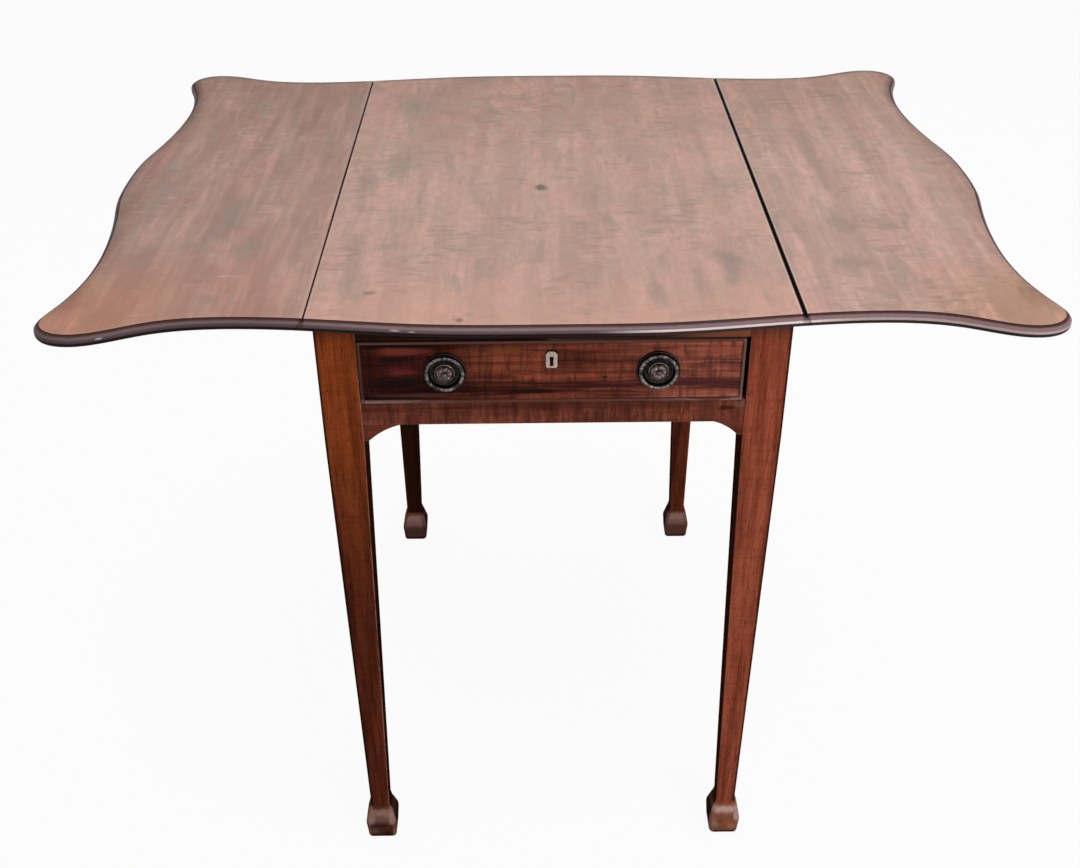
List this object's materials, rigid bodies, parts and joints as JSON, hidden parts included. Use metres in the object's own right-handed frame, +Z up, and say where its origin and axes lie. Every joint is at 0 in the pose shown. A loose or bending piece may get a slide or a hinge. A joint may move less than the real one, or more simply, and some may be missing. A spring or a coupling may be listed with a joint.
{
  "type": "pembroke table",
  "caption": "Pembroke table: serpentine top with drop leaves on rule joints, cock-beaded drawer with ring handles, swinging fly brackets and tapered legs on spade feet.",
  "frame": {"origin": "on the floor, under the middle of the top", "axes": "+X across the raised leaves, to the right as seen from the drawer; +Y from the drawer to the rear; +Z up"},
  "size_m": [0.928, 0.7252, 0.72],
  "materials": {
    "top_mahogany": "faded, waxed mahogany, satin, with long straight grain and faint cross figure",
    "frame_mahogany": "red-brown waxed mahogany, satin, worn on its corners",
    "drawer_mahogany": "flame-figured mahogany, dark red-brown with black streaks, satin",
    "bead_mahogany": "plain mahogany strip, worn pale on its nose",
    "fly_wood": "stained hardwood, dull",
    "carcass_wood": "bare old secondary wood, dry and dull",
    "hinge_brass": "old brass, tarnished",
    "steel": "dull steel",
    "lock_brass": "old brass, tarnished",
    "handle_bronze": "dark toned metal, rubbed bright on its beads",
    "bone": "yellowed bone, satin",
    "glide_iron": "dark worn iron"
  },
  "bodies": {
    "frame": {"top_board": "top_mahogany", "front_top_rail": "frame_mahogany", "front_lower_rail": "frame_mahogany", "rear_rail": "frame_mahogany", "foot_glides": "glide_iron", "hinge_pins": "steel", "hinge_screws_bed": "steel", "drawer_stops": "carcass_wood", "glue_blocks": "carcass_wood", "top_fixing_screws": "steel", "leg_front_left": "frame_mahogany", "leg_front_right": "frame_mahogany", "leg_rear_left": "frame_mahogany", "leg_rear_right": "frame_mahogany", "spandrel_front_left": "frame_mahogany", "spandrel_front_right": "frame_mahogany", "spandrel_rear_left": "frame_mahogany", "spandrel_rear_right": "frame_mahogany", "hinge_bed_flap_left_front": "hinge_brass", "hinge_bed_flap_left_rear": "hinge_brass", "hinge_bed_flap_right_front": "hinge_brass", "hinge_bed_flap_right_rear": "hinge_brass", "side_rail_left": "carcass_wood", "side_rail_right": "carcass_wood", "fly_rail_left": "fly_wood", "fly_rail_right": "fly_wood", "fly_pin_left": "steel", "fly_pin_right": "steel", "drawer_runner_left": "carcass_wood", "drawer_runner_right": "carcass_wood", "drawer_kicker_left": "carcass_wood", "drawer_kicker_right": "carcass_wood"},
    "drawer": {"drawer_front": "drawer_mahogany", "cock_bead": "bead_mahogany", "drawer_side_left": "carcass_wood", "drawer_side_right": "carcass_wood", "drawer_back": "carcass_wood", "drawer_bottom": "carcass_wood", "lock_case": "lock_brass", "escutcheon": "bone", "handle_plate_left": "handle_bronze", "handle_plate_right": "handle_bronze", "handle_boss_left": "handle_bronze", "handle_boss_right": "handle_bronze", "handle_nuts": "steel"},
    "lock_bolt": {"lock_bolt": "steel"},
    "leaf_left": {"leaf_left": "top_mahogany", "hinge_screws_leaf_left": "steel", "hinge_leaf_flap_left_front": "hinge_brass", "hinge_leaf_flap_left_rear": "hinge_brass"},
    "bracket_left": {"fly_bracket_left": "fly_wood"},
    "ring_left": {"handle_ring_left": "handle_bronze"},
    "leaf_right": {"leaf_right": "top_mahogany", "hinge_screws_leaf_right": "steel", "hinge_leaf_flap_right_front": "hinge_brass", "hinge_leaf_flap_right_rear": "hinge_brass"},
    "bracket_right": {"fly_bracket_right": "fly_wood"},
    "ring_right": {"handle_ring_right": "handle_bronze"}
  },
  "joints": [
    {"name": "leaf_left_drop", "type": "hinge", "parent": "frame", "child": "leaf_left", "pos_m": [-0.224, 0, 0.7115], "axis": [0, -1, 0], "range_deg": [0, 90]},
    {"name": "bracket_left_swing", "type": "hinge", "parent": "frame", "child": "bracket_left", "pos_m": [-0.2085, -0.24535, 0.6775], "axis": [0, 0, -1], "range_deg": [-90, 0]},
    {"name": "leaf_right_drop", "type": "hinge", "parent": "frame", "child": "leaf_right", "pos_m": [0.224, 0, 0.7115], "axis": [0, 1, 0], "range_deg": [0, 90]},
    {"name": "bracket_right_swing", "type": "hinge", "parent": "frame", "child": "bracket_right", "pos_m": [0.2085, 0.24535, 0.6775], "axis": [0, 0, -1], "range_deg": [-90, 0]},
    {"name": "drawer_slide", "type": "slide", "parent": "frame", "child": "drawer", "axis": [0, -1, 0], "range_m": [0, 0.3]},
    {"name": "lock_bolt_throw", "type": "slide", "parent": "drawer", "child": "lock_bolt", "axis": [0, 0, 1], "range_m": [0, 0.006]},
    {"name": "ring_left_lift", "type": "hinge", "parent": "drawer", "child": "ring_left", "pos_m": [-0.1016, -0.31445, 0.66785], "axis": [-1, 0, 0], "range_deg": [0, 85]},
    {"name": "ring_right_lift", "type": "hinge", "parent": "drawer", "child": "ring_right", "pos_m": [0.0984, -0.31445, 0.66785], "axis": [-1, 0, 0], "range_deg": [0, 85]}
  ]
}
